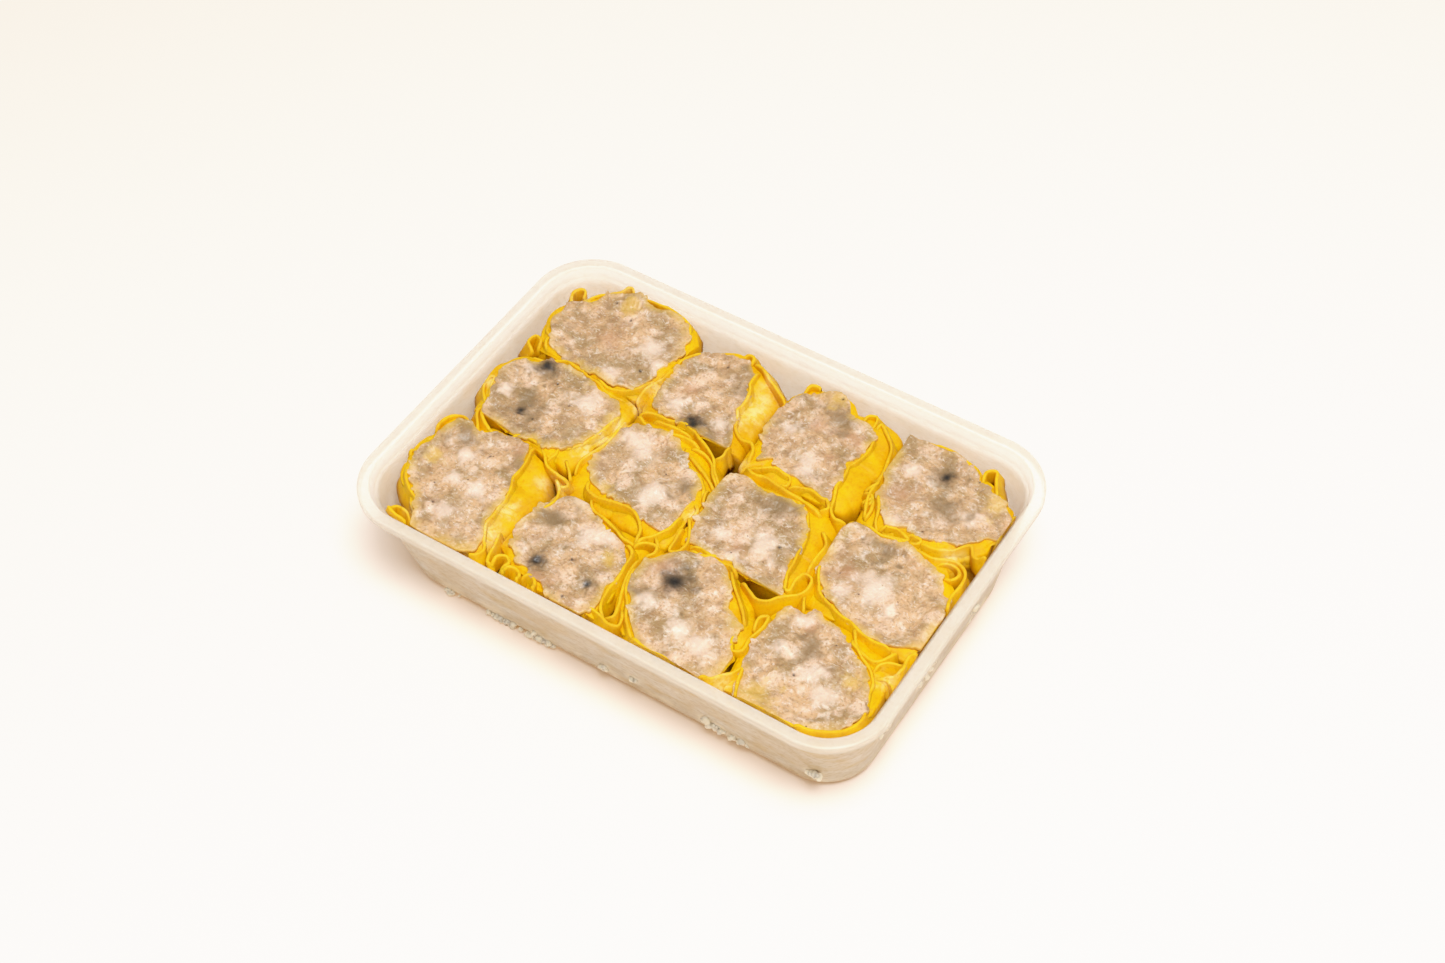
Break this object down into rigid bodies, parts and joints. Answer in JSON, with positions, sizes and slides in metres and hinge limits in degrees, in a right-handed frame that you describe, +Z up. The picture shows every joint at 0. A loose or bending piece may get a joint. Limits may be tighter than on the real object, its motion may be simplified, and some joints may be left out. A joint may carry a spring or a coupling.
{
  "type": "tub of siu mai dumplings",
  "caption": "Raw open-topped siu mai in pleated yellow wrappers, packed in rows in a shallow translucent plastic takeaway tub with a flat rim.",
  "frame": {"origin": "middle of the tub's underside", "axes": "+X along the tub's long side, +Y across it, +Z up"},
  "size_m": [0.172, 0.12, 0.04],
  "materials": {
    "polypropylene": "translucent natural polypropylene, moulded, satin",
    "egg_dough": "thin rolled egg dough, soft satin with dry floury edges",
    "pork_mince": "raw minced pork with fat and mushroom, damp satin"
  },
  "bodies": {
    "root": {"tub": "polypropylene", "wrapper_a1": "egg_dough", "filling_a1": "pork_mince", "wrapper_a2": "egg_dough", "filling_a2": "pork_mince", "wrapper_a3": "egg_dough", "filling_a3": "pork_mince", "wrapper_a4": "egg_dough", "filling_a4": "pork_mince", "wrapper_b1": "egg_dough", "filling_b1": "pork_mince", "wrapper_b2": "egg_dough", "filling_b2": "pork_mince", "wrapper_b3": "egg_dough", "filling_b3": "pork_mince", "wrapper_b4": "egg_dough", "filling_b4": "pork_mince", "wrapper_c1": "egg_dough", "filling_c1": "pork_mince", "wrapper_c2": "egg_dough", "filling_c2": "pork_mince", "wrapper_c3": "egg_dough", "filling_c3": "pork_mince", "wrapper_c4": "egg_dough", "filling_c4": "pork_mince"}
  },
  "joints": []
}
